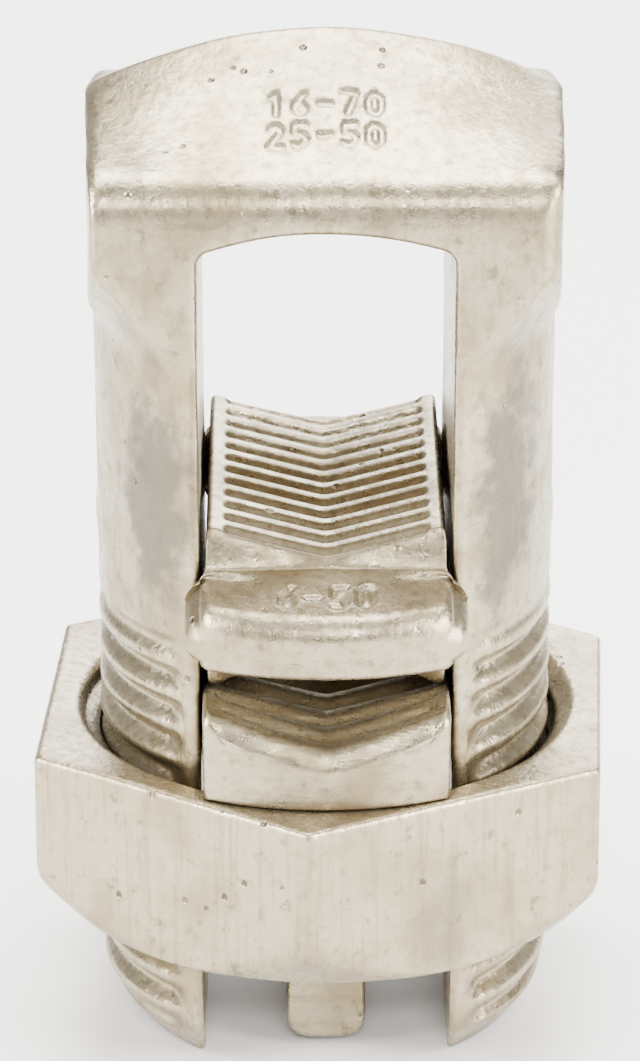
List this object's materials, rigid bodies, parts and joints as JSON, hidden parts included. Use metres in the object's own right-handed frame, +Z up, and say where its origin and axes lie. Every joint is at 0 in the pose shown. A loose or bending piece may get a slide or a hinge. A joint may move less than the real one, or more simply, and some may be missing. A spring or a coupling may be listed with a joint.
{
  "type": "split bolt connector",
  "caption": "Slotted bolt connector with a hex nut, pressure bar and two-sided spacer that clamps a run conductor and a tap conductor together.",
  "frame": {"origin": "centre of the footprint, level with the ends of the two legs", "axes": "+Z up along the bolt from the leg ends to the head, +Y along the conductors away from the viewer, +X across the two legs"},
  "size_m": [0.0262, 0.0292, 0.047],
  "materials": {
    "bolt_metal": "bronze forging, matte tin plate with pits and grey stains",
    "nut_metal": "matte tin plate with fine drawn lines on the flats",
    "bar_metal": "satin tin plate, bright on the ridges",
    "spacer_metal": "satin tin plate, bright on the rounded edges"
  },
  "bodies": {
    "bolt": {"bolt_body": "bolt_metal"},
    "bar": {"pressure_bar": "bar_metal"},
    "nut": {"nut": "nut_metal"},
    "spacer": {"spacer": "spacer_metal"}
  },
  "joints": [
    {"name": "clamp_slide", "type": "slide", "parent": "bolt", "child": "bar", "axis": [0, 0, 1], "range_m": [-0.00665, 0.00705]},
    {"name": "nut_turn", "type": "hinge", "parent": "bar", "child": "nut", "pos_m": [0, 0, 0.0108], "axis": [0, 0, 1], "range_deg": [-1497, 1587]},
    {"name": "spacer_lift", "type": "slide", "parent": "bar", "child": "spacer", "axis": [0, 0, 1], "range_m": [0, 0.0055]}
  ],
  "couplings": [
    {"joint": "clamp_slide", "follows": "nut_turn", "m_per_rad": 0.00025266}
  ]
}
